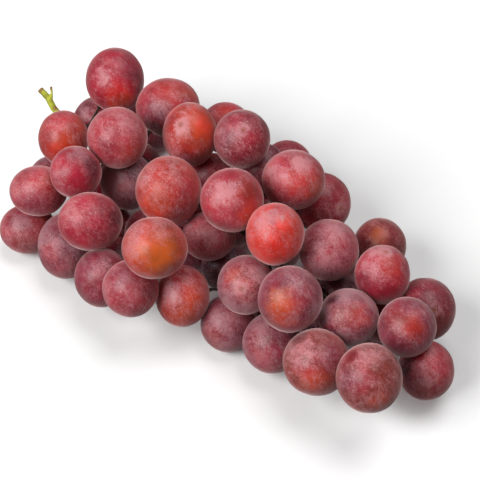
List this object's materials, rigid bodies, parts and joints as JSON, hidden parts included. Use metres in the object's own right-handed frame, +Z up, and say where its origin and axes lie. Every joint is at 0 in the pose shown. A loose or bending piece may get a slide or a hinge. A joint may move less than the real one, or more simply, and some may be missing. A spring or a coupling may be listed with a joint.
{
  "type": "bunch of grapes",
  "caption": "Bunch of large round red table grapes on a branching green stem with a cut stalk, lying on its side; each grape is a solid of its own on its own short stem.",
  "frame": {"origin": "on the surface that the bunch lies on, under the middle of the whole bunch", "axes": "+X along the bunch from its cut stalk to its tip, +Z up from the surface"},
  "size_m": [0.2368, 0.1326, 0.0693],
  "materials": {
    "grape_skin": "dusky red translucent skin under a patchy whitish wax bloom, soft sheen",
    "stem": "fresh yellow-green stalk, smooth, with tan and brown at the cut ends"
  },
  "bodies": {
    "root": {"grape_shoulder_01": "grape_skin", "grape_shoulder_02": "grape_skin", "grape_shoulder_03": "grape_skin", "grape_shoulder_04": "grape_skin", "grape_shoulder_05": "grape_skin", "grape_shoulder_06": "grape_skin", "grape_shoulder_07": "grape_skin", "grape_shoulder_08": "grape_skin", "grape_shoulder_09": "grape_skin", "grape_shoulder_10": "grape_skin", "grape_shoulder_11": "grape_skin", "grape_shoulder_12": "grape_skin", "grape_shoulder_13": "grape_skin", "grape_middle_01": "grape_skin", "grape_middle_02": "grape_skin", "grape_middle_03": "grape_skin", "grape_middle_04": "grape_skin", "grape_middle_05": "grape_skin", "grape_middle_06": "grape_skin", "grape_middle_07": "grape_skin", "grape_middle_08": "grape_skin", "grape_middle_09": "grape_skin", "grape_middle_10": "grape_skin", "grape_middle_11": "grape_skin", "grape_middle_12": "grape_skin", "grape_middle_13": "grape_skin", "grape_middle_14": "grape_skin", "grape_middle_15": "grape_skin", "grape_middle_16": "grape_skin", "grape_middle_17": "grape_skin", "grape_middle_18": "grape_skin", "grape_middle_19": "grape_skin", "grape_tip_01": "grape_skin", "grape_tip_02": "grape_skin", "grape_tip_03": "grape_skin", "grape_tip_04": "grape_skin", "grape_tip_05": "grape_skin", "grape_tip_06": "grape_skin", "grape_tip_07": "grape_skin", "grape_tip_08": "grape_skin", "grape_tip_09": "grape_skin", "grape_tip_10": "grape_skin", "grape_tip_11": "grape_skin", "grape_tip_12": "grape_skin", "grape_tip_13": "grape_skin", "grape_tip_14": "grape_skin", "grape_tip_15": "grape_skin", "grape_tip_16": "grape_skin", "grape_underside_01": "grape_skin", "grape_underside_02": "grape_skin", "grape_underside_03": "grape_skin", "grape_underside_04": "grape_skin", "grape_underside_05": "grape_skin", "grape_underside_06": "grape_skin", "grape_underside_07": "grape_skin", "grape_underside_08": "grape_skin", "grape_underside_09": "grape_skin", "grape_underside_10": "grape_skin", "grape_underside_11": "grape_skin", "stem": "stem"}
  },
  "joints": []
}
